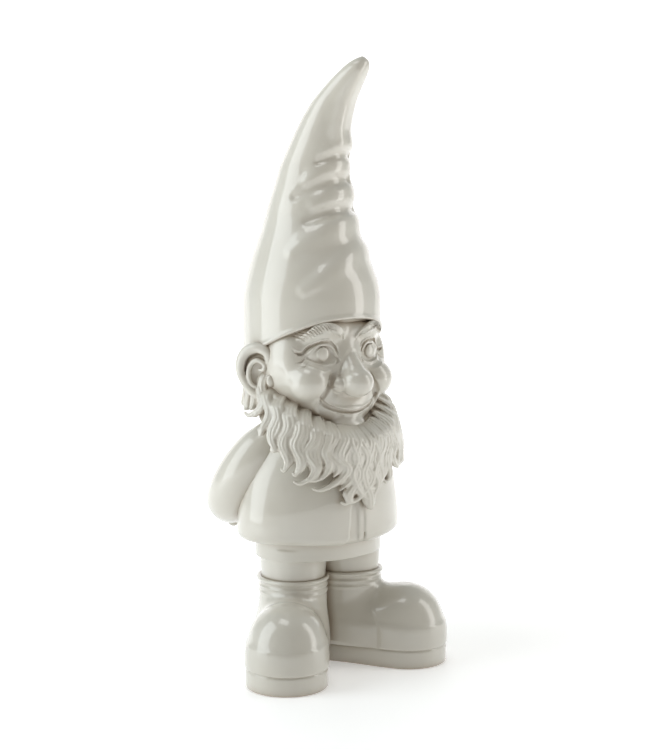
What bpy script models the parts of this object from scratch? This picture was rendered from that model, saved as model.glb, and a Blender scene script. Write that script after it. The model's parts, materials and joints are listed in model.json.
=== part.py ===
"""Garden gnome: a hollow lacquered resin statue, cast in sections and bonded over a steel armature.

Frame: metres, +Z up, the gnome faces -Y and its left hand is on the +X side.
The origin is on the ground, midway between the boots, under the middle of the overall box.
Run with: blender --background --python part.py
"""

import math

import bmesh
import bpy
from mathutils import Matrix, Vector

# Driving dimensions
HEIGHT = 0.900
WALL = 0.005
JOINT_GAP = 0.0005
AROUND = 32

# Boots and soles
ANKLE_X = 0.0512
SPLAY = math.radians(38.5)
SOLE_HEIGHT = 0.028
SPIGOT_HEIGHT = 0.008
BOOT_TOP = 0.147
SHAFT_HALF_WIDTH = 0.046
SHAFT_HALF_DEPTH = 0.054

# Armature
ROD_RADIUS = 0.006
ANCHOR_RADIUS = 0.011
PLUG_RADIUS = 0.012
PLUG_HEAD_RADIUS = 0.016
PLUG_HEAD_HEIGHT = 0.005
TOE_CENTRE = 0.100
BALLAST_TOP = 0.078
HIP_PLATE_BOTTOM = 0.178
PLATE_THICKNESS = 0.008
SPINE_Y = 0.010
SPINE_RADIUS = 0.0125
SPINE_BORE = 0.0105
SPINE_TOP = 0.660
HAT_PLATE_BOTTOM = 0.612
NECK_Z = 0.3715

# Head and hat
HEAD_Y = 0.015
BRIM_HEIGHT = 0.475
BRIM_SLOPE = 0.50
BRIM_RADIUS = 0.102
HAT_LEAN_TOWARDS = math.radians(15)
HAT_FLAT_FROM = 0.600

# Sections of the turned and lofted bodies: height, centre y, half width, half depth.
COAT = [
    (0.1945, -0.002, 0.118, 0.083),
    (0.1990, -0.002, 0.127, 0.089),
    (0.2150, -0.002, 0.133, 0.094),
    (0.2500, -0.001, 0.134, 0.096),
    (0.2900, 0.000, 0.128, 0.096),
    (0.3200, 0.002, 0.116, 0.092),
    (0.3450, 0.006, 0.098, 0.084),
    (0.3600, 0.010, 0.080, 0.074),
    (0.3710, 0.013, 0.066, 0.064),
]
HEAD = [
    (0.3720, 0.015, 0.060, 0.060),
    (0.3800, 0.015, 0.074, 0.074),
    (0.3950, 0.015, 0.086, 0.086),
    (0.4200, 0.015, 0.094, 0.092),
    (0.4500, 0.015, 0.096, 0.093),
    (0.4900, 0.015, 0.094, 0.091),
    (0.5300, 0.015, 0.088, 0.086),
    (0.5600, 0.015, 0.074, 0.074),
    (0.5850, 0.015, 0.052, 0.052),
    (0.5960, 0.015, 0.030, 0.030),
]
HIPS = [
    (0.1690, -0.001, 0.094, 0.070),
    (0.1740, -0.001, 0.097, 0.073),
    (0.1940, -0.001, 0.099, 0.074),
    (0.2150, 0.000, 0.102, 0.075),
]
BEARD = [
    (0.4400, 0.012, 0.105, 0.098),
    (0.4100, 0.006, 0.116, 0.107),
    (0.3800, 0.000, 0.127, 0.113),
    (0.3400, 0.000, 0.131, 0.114),
    (0.3000, 0.000, 0.134, 0.111),
    (0.2700, 0.000, 0.137, 0.107),
    (0.2450, 0.000, 0.140, 0.103),
]
BACK_HAIR = [
    (0.4420, 0.014, 0.098, 0.096),
    (0.4150, 0.012, 0.104, 0.102),
    (0.3900, 0.010, 0.107, 0.103),
]
# Hat above the brim: height of the centre line, lean of the centre line, radius.
HAT = [
    (0.600, 0.000, 0.0905),
    (0.625, -0.001, 0.0825),
    (0.650, -0.002, 0.0730),
    (0.675, -0.002, 0.0655),
    (0.700, 0.000, 0.0600),
    (0.730, 0.002, 0.0530),
    (0.760, 0.008, 0.0470),
    (0.790, 0.019, 0.0405),
    (0.820, 0.034, 0.0340),
    (0.848, 0.051, 0.0275),
    (0.870, 0.067, 0.0215),
    (0.882, 0.078, 0.0160),
    (0.890, 0.087, 0.0085),
]
# The hat's radius below that: height, radius.
HAT_SKIRT = [(0.400, BRIM_RADIUS), (0.550, BRIM_RADIUS), (0.575, 0.098), (0.600, 0.0905)]
# Upper and lower edge of the beard: angle from the front in degrees, height.
BEARD_TOP = [(0, 0.378), (20, 0.383), (37, 0.394), (54, 0.409), (70, 0.426), (96, 0.436)]
BEARD_TIPS = [(0, 0.247), (7, 0.264), (14, 0.284), (35, 0.295), (55, 0.304), (75, 0.345), (96, 0.385)]
# A boot's front above the sole: height, toe centre, toe half length, toe half width.
TOE = [
    (0.0283, 0.100, 0.058, 0.058),
    (0.0450, 0.100, 0.060, 0.060),
    (0.0620, 0.099, 0.058, 0.058),
    (0.0790, 0.096, 0.052, 0.054),
    (0.0930, 0.090, 0.043, 0.049),
    (0.1040, 0.080, 0.033, 0.044),
    (0.1120, 0.060, 0.030, 0.043),
    (0.1180, 0.020, 0.043, 0.044),
    (0.1260, 0.000, 0.054, 0.046),
    (0.1370, 0.000, 0.055, 0.047),
    (0.1470, 0.000, 0.055, 0.047),
]
# Centre line of the right sleeve and of the right hand: x, y, z, radius.
SLEEVE = [
    (-0.074, 0.008, 0.350, 0.026),
    (-0.098, 0.016, 0.325, 0.036),
    (-0.115, 0.032, 0.294, 0.038),
    (-0.120, 0.052, 0.266, 0.037),
    (-0.112, 0.076, 0.248, 0.034),
    (-0.094, 0.094, 0.238, 0.029),
]
HAND = [
    (-0.086, 0.100, 0.234, 0.021),
    (-0.070, 0.109, 0.230, 0.019),
    (-0.048, 0.1165, 0.226, 0.021),
    (-0.026, 0.1187, 0.222, 0.020),
    (-0.008, 0.1187, 0.220, 0.015),
]

# Finishes: colour, roughness, metallic.
GELCOAT = ((0.80, 0.78, 0.73, 1.0), 0.12, 0.0)
GALVANISED = ((0.55, 0.57, 0.60, 1.0), 0.40, 1.0)
PLYWOOD = ((0.55, 0.40, 0.24, 1.0), 0.70, 0.0)
CONCRETE = ((0.45, 0.44, 0.42, 1.0), 0.90, 0.0)
RUBBER = ((0.03, 0.03, 0.03, 1.0), 0.70, 0.0)


def clear_scene():
    for obj in list(bpy.data.objects):
        bpy.data.objects.remove(obj)


def new_collection(name):
    collection = bpy.data.collections.new(name)
    bpy.context.scene.collection.children.link(collection)
    return collection


def finish_material(name, finish):
    material = bpy.data.materials.get(name)
    if material is None:
        material = bpy.data.materials.new(name)
        material.use_nodes = True
        colour, roughness, metallic = finish
        shader = material.node_tree.nodes["Principled BSDF"]
        shader.inputs["Base Color"].default_value = colour
        shader.inputs["Roughness"].default_value = roughness
        shader.inputs["Metallic"].default_value = metallic
    return material


def interpolate(table, at):
    """The values at a height or an angle, between the rows of a table that rises or falls by its first column."""
    rows = sorted(table)
    at = min(max(at, rows[0][0]), rows[-1][0])
    for low, high in zip(rows, rows[1:]):
        if at <= high[0]:
            share = (at - low[0]) / (high[0] - low[0])
            values = [a + (b - a) * share for a, b in zip(low[1:], high[1:])]
            return values if len(values) > 1 else values[0]
    return rows[-1][1:]


def angles_between(start, end, steps):
    return [math.radians(start + (end - start) * i / steps) for i in range(steps + 1)]


FULL_TURN = angles_between(0, 360, AROUND)[:-1]


def ellipse(section, angles=FULL_TURN, grow=0.0):
    """One level section. Angle 0 is the front, and a quarter turn is the gnome's left side."""
    z, centre_y, half_width, half_depth = section
    return [
        Vector(((half_width + grow) * math.sin(a), centre_y - (half_depth + grow) * math.cos(a), z))
        for a in angles
    ]


def skin(name, rings, around=True, caps=True):
    """A surface through rings of points, each ring running the same way and the rings going up."""
    mesh = bpy.data.meshes.new(name)
    bm = bmesh.new()
    rows = [[bm.verts.new(p) for p in ring] for ring in rings]
    count = len(rows[0])
    for low, high in zip(rows, rows[1:]):
        for i in range(count if around else count - 1):
            j = (i + 1) % count
            bm.faces.new((low[i], low[j], high[j], high[i]))
    if caps:
        bm.faces.new(reversed(rows[0]))
        bm.faces.new(rows[-1])
    bm.to_mesh(mesh)
    bm.free()
    return bpy.data.objects.new(name, mesh)


def set_smooth(obj):
    obj.data.shade_smooth()
    obj.data.set_sharp_from_angle(angle=math.radians(40))


def add_part(obj, material_name, finish):
    parts.objects.link(obj)
    obj.data.materials.clear()
    obj.data.materials.append(finish_material(material_name, finish))
    set_smooth(obj)
    return obj


def add_cutter(obj):
    cutters.objects.link(obj)
    obj.hide_render = True
    obj.display_type = "WIRE"
    return obj


def add_wall(obj, thickness=WALL):
    """Gives an open surface its thickness, on its inner side."""
    solidify = obj.modifiers.new("wall", "SOLIDIFY")
    solidify.thickness = thickness
    solidify.offset = -1
    return obj


def add_boolean(obj, other, operation="DIFFERENCE"):
    boolean = obj.modifiers.new(operation.lower() + "_" + other.name, "BOOLEAN")
    boolean.operation = operation
    boolean.object = other
    return obj


def shaped(obj, collection):
    """Applies an object's modifiers, in a new mesh."""
    if obj.name not in collection.objects:
        collection.objects.link(obj)
    bpy.context.view_layer.update()
    graph = bpy.context.evaluated_depsgraph_get()
    mesh = bpy.data.meshes.new_from_object(obj.evaluated_get(graph))
    obj.modifiers.clear()
    old = obj.data
    obj.data = mesh
    if isinstance(old, bpy.types.Mesh):
        bpy.data.meshes.remove(old)
    return obj


def mirrored(obj, name):
    """The same piece on the gnome's left side."""
    twin = bpy.data.objects.new(name, obj.data)
    twin.matrix_world = Matrix.Scale(-1, 4, (1, 0, 0)) @ obj.matrix_world
    parts.objects.link(twin)
    return twin


def cylinder(name, radius, bottom, top, x=0.0, y=0.0, segments=24):
    bm = bmesh.new()
    bmesh.ops.create_cone(
        bm, cap_ends=True, segments=segments, radius1=radius, radius2=radius, depth=top - bottom
    )
    bmesh.ops.translate(bm, verts=bm.verts, vec=(x, y, (top + bottom) / 2))
    mesh = bpy.data.meshes.new(name)
    bm.to_mesh(mesh)
    bm.free()
    return bpy.data.objects.new(name, mesh)


def box(name, low, high):
    corners = [(low[0], low[1]), (high[0], low[1]), (high[0], high[1]), (low[0], high[1])]
    return skin(name, [[Vector((x, y, z)) for x, y in corners] for z in (low[2], high[2])])


def ball(name, centre, radii, turn=None):
    bm = bmesh.new()
    bmesh.ops.create_uvsphere(bm, u_segments=20, v_segments=12, radius=1.0)
    matrix = Matrix.Translation(centre) @ (turn or Matrix()) @ Matrix.Diagonal((*radii, 1.0))
    bmesh.ops.transform(bm, matrix=matrix, verts=bm.verts)
    mesh = bpy.data.meshes.new(name)
    bm.to_mesh(mesh)
    bm.free()
    return bpy.data.objects.new(name, mesh)


def tapered_tube(name, route, steps=3):
    """A round bar of changing radius along a smooth curve through the route's points."""
    curve = bpy.data.curves.new(name, "CURVE")
    curve.dimensions = "3D"
    curve.bevel_depth = 1.0
    curve.bevel_resolution = 3
    curve.resolution_u = steps
    curve.use_fill_caps = True
    spline = curve.splines.new("NURBS")
    spline.points.add(len(route) - 1)
    for point, (x, y, z, radius) in zip(spline.points, route):
        point.co = (x, y, z, 1.0)
        point.radius = radius
    spline.use_endpoint_u = True
    spline.order_u = 3
    obj = bpy.data.objects.new(name, curve)
    cutters.objects.link(obj)
    bpy.context.view_layer.update()
    mesh = bpy.data.meshes.new_from_object(obj.evaluated_get(bpy.context.evaluated_depsgraph_get()))
    bm = bmesh.new()
    bm.from_mesh(mesh)
    bmesh.ops.remove_doubles(bm, verts=bm.verts, dist=0.00001)
    bm.to_mesh(mesh)
    bm.free()
    solid = bpy.data.objects.new(name + "_solid", mesh)
    solid.matrix_world = obj.matrix_world
    bpy.data.objects.remove(obj)
    solid.name = name
    return solid


# Outer shapes that neighbours are fitted to, a joint gap larger than the pieces themselves.


def coat_block():
    return add_cutter(skin("coat_block", [ellipse(s, grow=JOINT_GAP) for s in COAT]))


def head_block():
    return add_cutter(skin("head_block", [ellipse(s, grow=JOINT_GAP) for s in HEAD]))


def hat_rings(grow=0.0, drop=0.0):
    """The hat's outer rings: from the slanting brim to a level one, then square to the bending centre line."""
    rings = []
    for share in (0.0, 0.25, 0.5, 0.75, 1.0):
        ring = []
        for a in FULL_TURN:
            front = -math.cos(a)
            brim = BRIM_HEIGHT - BRIM_SLOPE * BRIM_RADIUS * front - drop
            z = brim + (HAT_FLAT_FROM - brim) * share
            radius = interpolate(HAT_SKIRT, z) + grow
            ring.append(Vector((radius * math.sin(a), HEAD_Y + radius * front, z)))
        rings.append(ring)
    lean_way = Vector((math.sin(HAT_LEAN_TOWARDS), -math.cos(HAT_LEAN_TOWARDS), 0))
    centres = [Vector((0, HEAD_Y, z)) + lean_way * lean for z, lean, _ in HAT]
    for i in range(1, len(HAT)):
        before, after = centres[i - 1], centres[min(i + 1, len(HAT) - 1)]
        tangent = (after - before).normalized()
        turn = Vector((0, 0, 1)).rotation_difference(tangent).to_matrix()
        radius = HAT[i][2] + grow
        rings.append(
            [centres[i] + turn @ Vector((math.sin(a), -math.cos(a), 0)) * radius for a in FULL_TURN]
        )
    return rings


def brim_cutter():
    """Everything below the slanting plane of the brim."""
    reach = 0.2
    sheet = [
        Vector((x, HEAD_Y + y, BRIM_HEIGHT - BRIM_SLOPE * y))
        for x, y in ((-reach, -reach), (reach, -reach), (reach, reach), (-reach, reach))
    ]
    return add_cutter(skin("below_brim", [[p - Vector((0, 0, reach)) for p in sheet], sheet]))


def sleeve_rooms():
    """The room both sleeves take up."""
    route = [(x, y, z, radius + JOINT_GAP) for x, y, z, radius in SLEEVE]
    room = add_cutter(tapered_tube("sleeve_room_right", route))
    room_left = bpy.data.objects.new("sleeve_room_left", room.data)
    room_left.matrix_world = Matrix.Scale(-1, 4, (1, 0, 0))
    return [room, add_cutter(room_left)]


def build_hat():
    hat = skin("hat", hat_rings(drop=0.006), caps=False)
    bm = bmesh.new()
    bm.from_mesh(hat.data)
    bm.verts.ensure_lookup_table()
    last = list(bm.verts)[-AROUND:]
    middle = sum((v.co for v in last), Vector()) / AROUND
    tip = bm.verts.new(middle + Vector((0.002, -0.003, 0.0)))
    tip.co.z = HEIGHT
    for i in range(AROUND):
        bm.faces.new((last[i], last[(i + 1) % AROUND], tip))
    bm.to_mesh(hat.data)
    bm.free()
    add_boolean(add_wall(hat), brim_cutter())
    add_part(hat, "gelcoat", GELCOAT)


def build_head():
    """A hollow head with the nose and cheeks standing proud, open at the neck and at the crown."""
    head = skin("head", [ellipse(s) for s in HEAD])
    features = [
        ball("nose", (0, -0.095, 0.438), (0.026, 0.026, 0.024)),
        ball("cheek_right", (-0.052, -0.050, 0.434), (0.032, 0.030, 0.030)),
        ball("cheek_left", (0.052, -0.050, 0.434), (0.032, 0.030, 0.030)),
        ball("muzzle", (0, -0.062, 0.412), (0.040, 0.024, 0.026)),
    ]
    inner = [(z, y, w - WALL, d - WALL) for z, y, w, d in HEAD]
    inner[0] = (HEAD[0][0] - 0.002, *inner[0][1:])
    inner[-1] = (HEAD[-1][0] + 0.002, *inner[-1][1:])
    for feature in features:
        add_boolean(head, add_cutter(feature), "UNION")
    add_boolean(head, add_cutter(skin("head_hollow", [ellipse(s) for s in inner])))
    add_part(head, "gelcoat", GELCOAT)


def build_ears(blocks):
    """Cupped ears, bonded to the sides of the head."""
    turn = Matrix.Rotation(math.radians(38), 4, "Z") @ Matrix.Rotation(math.radians(-12), 4, "X")
    ear = ball("ear_right", (-0.103, 0.020, 0.438), (0.011, 0.034, 0.044), turn)
    bowl = ball("ear_bowl", (-0.116, 0.014, 0.438), (0.011, 0.019, 0.026), turn)
    add_boolean(ear, add_cutter(bowl))
    for block in blocks:
        add_boolean(ear, block)
    shaped(ear, parts)
    parts.objects.unlink(ear)
    add_part(ear, "gelcoat", GELCOAT)
    mirrored(ear, "ear_left")
    room = ball("ear_room_right", (-0.103, 0.020, 0.438), (0.0117, 0.0347, 0.0447), turn)
    add_cutter(room)
    room_left = bpy.data.objects.new("ear_room_left", room.data)
    room_left.matrix_world = Matrix.Scale(-1, 4, (1, 0, 0))
    return [room, add_cutter(room_left)]


def build_beard(blocks):
    """A curved casting from the jaw line down to its point, fitted to the face and the coat."""
    angles = angles_between(-96, 96, 32)
    rows = 9
    rings = []
    for row in range(rows, -1, -1):
        ring = []
        for a in angles:
            turned = abs(math.degrees(a))
            top = interpolate(BEARD_TOP, turned)
            z = top + (interpolate(BEARD_TIPS, turned) - top) * row / rows
            centre_y, half_width, half_depth = interpolate(BEARD, z)
            draw_in = 0.007 * (row == rows) + 0.004 * (row == 0)
            ring.extend(ellipse((z, centre_y, half_width, half_depth), [a], -draw_in))
        rings.append(ring)
    beard = add_wall(skin("beard", rings, around=False, caps=False), 0.040)
    for block in blocks:
        add_boolean(beard, block)
    add_part(beard, "gelcoat", GELCOAT)


def build_back_hair(blocks):
    """The hair below the hat at the back, fitted to the head, the hat and the coat."""
    angles = angles_between(100, 260, 20)
    rings = [ellipse(s, angles) for s in reversed(BACK_HAIR)]
    hair = add_wall(skin("back_hair", rings, around=False, caps=False), 0.024)
    for block in blocks:
        add_boolean(hair, block)
    add_part(hair, "gelcoat", GELCOAT)


def build_coat():
    """Front and back half shells, bonded along the sides under the sleeves, open in front below the beard."""
    past_half = 90 + 360 / AROUND
    steps = AROUND // 2 + 2
    halves = []
    for name, middle in (("coat_front", 0), ("coat_back", 180)):
        arc = angles_between(middle - past_half, middle + past_half, steps)
        halves.append(add_wall(skin(name, [ellipse(s, arc) for s in COAT], around=False, caps=False)))
    front, back = halves
    seam = JOINT_GAP / 2
    add_boolean(front, add_cutter(box("behind_seam", (-0.2, -seam, 0.1), (0.2, 0.2, 0.5))))
    add_boolean(back, add_cutter(box("before_seam", (-0.2, -0.2, 0.1), (0.2, seam, 0.5))))
    opening = [
        (0.180, 0.017, -0.013),
        (0.232, 0.014, -0.012),
        (0.290, 0.009, -0.009),
    ]
    rings = []
    for z, left, right in opening:
        corners = [(right, -0.12), (left, -0.12), (left, -0.07), (right, -0.07)]
        rings.append([Vector((x, y, z)) for x, y in corners])
    add_boolean(front, add_cutter(skin("coat_opening", rings)))
    add_part(front, "gelcoat", GELCOAT)
    add_part(back, "gelcoat", GELCOAT)


def build_shirt_front():
    """The strip that closes the coat's opening from behind."""
    inset = WALL + 2 * JOINT_GAP
    heights = [0.208, 0.215, 0.250, 0.290, 0.305]
    sections = [(z, *interpolate(COAT, z)) for z in heights]
    rings = [ellipse(s, angles_between(-22.5, 22.5, 4), -inset) for s in sections]
    strip = skin("shirt_front", rings, around=False, caps=False)
    add_part(add_wall(strip, 0.004), "gelcoat", GELCOAT)


def build_arms(block):
    """A sleeve and a hand on each side, bonded to the coat; the hands meet behind the back."""
    sleeve = add_boolean(tapered_tube("sleeve_right", SLEEVE), block)
    hand = add_boolean(tapered_tube("hand_right", HAND), block)
    wrist = Vector(HAND[0][:3])
    way = (Vector(HAND[1][:3]) - wrist).normalized()
    placed = Matrix.Translation(wrist) @ Vector((0, 0, 1)).rotation_difference(way).to_matrix().to_4x4()
    room = cylinder("wrist_room", 0.045, -0.090, 0.0)
    room.data.transform(placed)
    add_boolean(hand, add_cutter(room))
    beyond = cylinder("cuff_end", 0.045, -JOINT_GAP, 0.090)
    beyond.data.transform(placed)
    add_boolean(sleeve, add_cutter(beyond))
    for piece in (sleeve, hand):
        shaped(piece, parts)
        parts.objects.unlink(piece)
        add_part(piece, "gelcoat", GELCOAT)
    mirrored(sleeve, "sleeve_left")
    mirrored(hand, "hand_left")


def build_trousers():
    """Hips and two short legs in one shell; a narrower spigot on each leg stands in its boot."""
    hips = skin("trousers", [ellipse(s) for s in HIPS])
    hollow_rows = [(0.1745, *HIPS[1][1:]), HIPS[2], (0.217, *HIPS[3][1:])]
    hollow = skin("hip_hollow", [ellipse(s, grow=-WALL) for s in hollow_rows])
    bores = []
    spigot = SHAFT_HALF_WIDTH - WALL - 0.001
    for side, label in ((-1, "right"), (1, "left")):
        leg = [
            (0.1360, 0.0, spigot, spigot + 0.008),
            (0.1474, 0.0, spigot, spigot + 0.008),
            (0.1476, 0.0, 0.0455, 0.0535),
            (0.1720, 0.0, 0.0455, 0.0535),
        ]
        shape = skin("leg_" + label, [ellipse(s) for s in leg])
        bore = skin(
            "leg_bore_" + label,
            [ellipse(s, grow=-WALL) for s in [(0.134, *leg[0][1:]), (0.1800, *leg[0][1:])]],
        )
        for piece in (shape, bore):
            piece.data.transform(Matrix.Rotation(side * SPLAY, 4, "Z"))
            piece.data.transform(Matrix.Translation((side * ANKLE_X, 0, 0)))
            add_cutter(piece)
        add_boolean(hips, shape, "UNION")
        bores.append(bore)
    add_boolean(hips, add_cutter(hollow))
    for bore in bores:
        add_boolean(hips, bore)
    add_part(hips, "gelcoat", GELCOAT)


def boot_ring(z, toe_centre, toe_length, toe_width, grow=0.0):
    """One level outline of a boot, toes towards -Y: the ankle's ellipse behind, the round toe in front."""
    ring = []
    for a in FULL_TURN:
        ahead = math.cos(a)
        share = min(max((ahead + 0.10) / 0.75, 0.0), 1.0)
        share = share * share * (3 - 2 * share)
        x_back, y_back = (SHAFT_HALF_WIDTH + grow) * math.sin(a), (SHAFT_HALF_DEPTH + grow) * ahead
        x_toe = (toe_width + grow) * math.sin(a)
        y_toe = toe_centre + (toe_length + grow) * ahead
        x = x_back + (x_toe - x_back) * share
        y = y_back + (y_toe - y_back) * share
        ring.append(Vector((x, -y, z)))
    return ring


def place_boot_piece(obj, name_left, material_name, finish):
    """Turns a piece made with toes towards -Y out by the splay, under the right leg, and adds its twin."""
    shaped(obj, parts)
    parts.objects.unlink(obj)
    add_part(obj, material_name, finish)
    obj.location = (-ANKLE_X, 0, 0)
    obj.rotation_euler = (0, 0, -SPLAY)
    obj.parent = boots_root
    bpy.context.view_layer.update()
    twin = mirrored(obj, name_left)
    twin.parent = boots_root
    return obj


def build_boots():
    """A hollow upper, open below and at the top of the shaft."""
    upper = add_wall(skin("boot_right", [boot_ring(*row) for row in TOE], caps=False))
    place_boot_piece(upper, "boot_left", "gelcoat", GELCOAT)


def build_soles():
    """A thick outsole with a raised rim inside the upper, a bore for the anchor and a filling hole."""
    toe = TOE[0][1:]
    inside = -(WALL + 0.001)
    rings = [
        boot_ring(0.000, *toe, grow=-0.002),
        boot_ring(0.002, *toe),
        boot_ring(SOLE_HEIGHT - 0.0005, *toe, grow=0.0005),
        boot_ring(SOLE_HEIGHT, *toe),
        boot_ring(SOLE_HEIGHT + 0.0001, *toe, grow=inside),
        boot_ring(SOLE_HEIGHT + SPIGOT_HEIGHT, *toe, grow=inside - 0.001),
    ]
    sole = skin("sole_right", rings)
    high = SOLE_HEIGHT + SPIGOT_HEIGHT + 0.002
    holes = [
        cylinder("anchor_hole", ANCHOR_RADIUS + JOINT_GAP, -0.002, high),
        cylinder("filling_hole", PLUG_RADIUS + JOINT_GAP, -0.002, high, y=-TOE_CENTRE),
        cylinder("recess", PLUG_HEAD_RADIUS + JOINT_GAP, -0.002, PLUG_HEAD_HEIGHT + 0.001, y=-TOE_CENTRE),
    ]
    for hole in holes:
        add_boolean(sole, add_cutter(hole))
    place_boot_piece(sole, "sole_left", "gelcoat", GELCOAT)


def build_ballast():
    """Cast concrete in each boot, round the leg rod and off the filling hole."""
    inside = -(WALL + 0.003)
    heights = (SOLE_HEIGHT + SPIGOT_HEIGHT + JOINT_GAP, 0.055, BALLAST_TOP)
    rows = [(z, *interpolate(TOE, z)) for z in heights]
    block = skin("ballast_right", [boot_ring(*row, grow=inside) for row in rows])
    add_boolean(block, add_cutter(cylinder("rod_hole", ROD_RADIUS + 0.002, 0.02, 0.10)))
    place_boot_piece(block, "ballast_left", "concrete", CONCRETE)


def build_plugs_and_sleeves():
    """A rubber plug in each filling hole, and a threaded sleeve for the leg rod above and a ground bolt below."""
    plug = cylinder("filler_plug_right", PLUG_RADIUS, 0.003, 0.034, y=-TOE_CENTRE)
    head = cylinder("plug_head", PLUG_HEAD_RADIUS, 0.0010, PLUG_HEAD_HEIGHT, y=-TOE_CENTRE)
    add_boolean(plug, add_cutter(head), "UNION")
    place_boot_piece(plug, "filler_plug_left", "rubber", RUBBER)
    sleeve = cylinder("anchor_sleeve_right", ANCHOR_RADIUS, 0.0010, 0.0350)
    add_boolean(sleeve, add_cutter(cylinder("thread", ROD_RADIUS + 0.0003, -0.002, 0.040)))
    place_boot_piece(sleeve, "anchor_sleeve_left", "galvanised_steel", GALVANISED)


def build_leg_rods():
    """A threaded rod up each leg, a washer and a nut on the hip plate."""
    plate_top = HIP_PLATE_BOTTOM + PLATE_THICKNESS
    for side, label in ((-1, "right"), (1, "left")):
        x = side * ANKLE_X
        rod = cylinder("leg_rod_" + label, ROD_RADIUS, 0.018, plate_top + 0.018, x, segments=16)
        washer = cylinder("rod_washer_" + label, 0.013, plate_top + 0.0004, plate_top + 0.0024, x)
        nut = cylinder("rod_nut_" + label, 0.0105, plate_top + 0.0028, plate_top + 0.0128, x, segments=6)
        for piece in (washer, nut):
            hole = cylinder(piece.name + "_hole", ROD_RADIUS + 0.0004, 0.15, 0.25, x, segments=16)
            add_boolean(piece, add_cutter(hole))
        for piece in (rod, washer, nut):
            add_part(piece, "galvanised_steel", GALVANISED)


def bored_plate(name, outline, bores, material_name, finish):
    """A plate through rings of points, with holes given as radius, x and y."""
    plate = skin(name, outline)
    for i, (radius, x, y) in enumerate(bores):
        add_boolean(plate, add_cutter(cylinder(f"{name}_bore_{i}", radius, 0.1, 0.7, x, y, 20)))
    add_part(plate, material_name, finish)


def build_armature():
    """The spine tube in its socket, held by plates at the hips, the neck and the hat."""
    plate_top = HIP_PLATE_BOTTOM + PLATE_THICKNESS
    bored_plate(
        "hip_plate",
        [ellipse((z, 0.0, 0.088, 0.064)) for z in (HIP_PLATE_BOTTOM, plate_top)],
        [(ROD_RADIUS + 0.0005, side * ANKLE_X, 0.0) for side in (-1, 1)],
        "plywood",
        PLYWOOD,
    )
    socket_top = plate_top + 0.024
    socket = [
        (plate_top + 0.0004, SPINE_Y, 0.028, 0.028),
        (plate_top + 0.0050, SPINE_Y, 0.028, 0.028),
        (plate_top + 0.0051, SPINE_Y, 0.017, 0.017),
        (socket_top, SPINE_Y, 0.017, 0.017),
    ]
    bored_plate(
        "spine_socket",
        [ellipse(s) for s in socket],
        [(SPINE_RADIUS + 0.0004, 0.0, SPINE_Y)],
        "galvanised_steel",
        GALVANISED,
    )
    tube = cylinder("spine_tube", SPINE_RADIUS, plate_top + 0.0010, SPINE_TOP, 0.0, SPINE_Y)
    add_boolean(tube, add_cutter(cylinder("tube_bore", SPINE_BORE, 0.1, 0.7, 0.0, SPINE_Y)))
    add_part(tube, "galvanised_steel", GALVANISED)
    spine_bore = [(SPINE_RADIUS + 0.0005, 0.0, SPINE_Y)]
    neck = [
        (NECK_Z - 0.012, 0.013, 0.052, 0.050),
        (NECK_Z, 0.013, 0.052, 0.050),
        (NECK_Z + 0.012, 0.015, 0.050, 0.048),
    ]
    bored_plate("neck_plug", [ellipse(s) for s in neck], spine_bore, "plywood", PLYWOOD)
    radius = interpolate(HAT, HAT_PLATE_BOTTOM + PLATE_THICKNESS)[1] - WALL - 0.002
    hat_plate = [
        (z, HEAD_Y, radius, radius) for z in (HAT_PLATE_BOTTOM, HAT_PLATE_BOTTOM + PLATE_THICKNESS)
    ]
    bored_plate("hat_plate", [ellipse(s) for s in hat_plate], spine_bore, "plywood", PLYWOOD)


clear_scene()
parts = new_collection("garden_gnome")
cutters = new_collection("cutters")
boots_root = bpy.data.objects.new("boots", None)
parts.objects.link(boots_root)

coat_room = coat_block()
head_room = head_block()
hat_room = add_cutter(skin("hat_block", hat_rings(JOINT_GAP, JOINT_GAP)))
build_hat()
build_head()
ear_rooms = build_ears([head_room, hat_room])
build_beard([head_room, coat_room, hat_room, *ear_rooms, *sleeve_rooms()])
build_back_hair([head_room, coat_room, hat_room, *ear_rooms])
build_coat()
build_shirt_front()
build_arms(coat_room)
build_trousers()
build_boots()
build_soles()
build_ballast()
build_plugs_and_sleeves()
build_leg_rods()
build_armature()
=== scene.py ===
"""Visual model of a lacquered resin garden gnome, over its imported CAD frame.

Each visible casting is modelled like clay: soft lumps and strands are blended into one solid, measured in
millimetres in the gnome's own frame (+Z up, facing -Y, its left hand on the +X side), and then given a skin.
"""

import json
import math

import bpy
import numpy as np
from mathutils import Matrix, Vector


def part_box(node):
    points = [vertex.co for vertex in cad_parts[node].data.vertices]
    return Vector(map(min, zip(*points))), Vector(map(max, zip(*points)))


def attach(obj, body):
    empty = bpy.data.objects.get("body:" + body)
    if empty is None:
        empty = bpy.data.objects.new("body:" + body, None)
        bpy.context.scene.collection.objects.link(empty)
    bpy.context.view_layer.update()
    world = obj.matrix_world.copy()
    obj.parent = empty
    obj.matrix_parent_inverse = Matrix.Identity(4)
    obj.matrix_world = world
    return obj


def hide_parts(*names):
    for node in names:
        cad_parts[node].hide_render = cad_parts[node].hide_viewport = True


MM = 0.001

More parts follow.
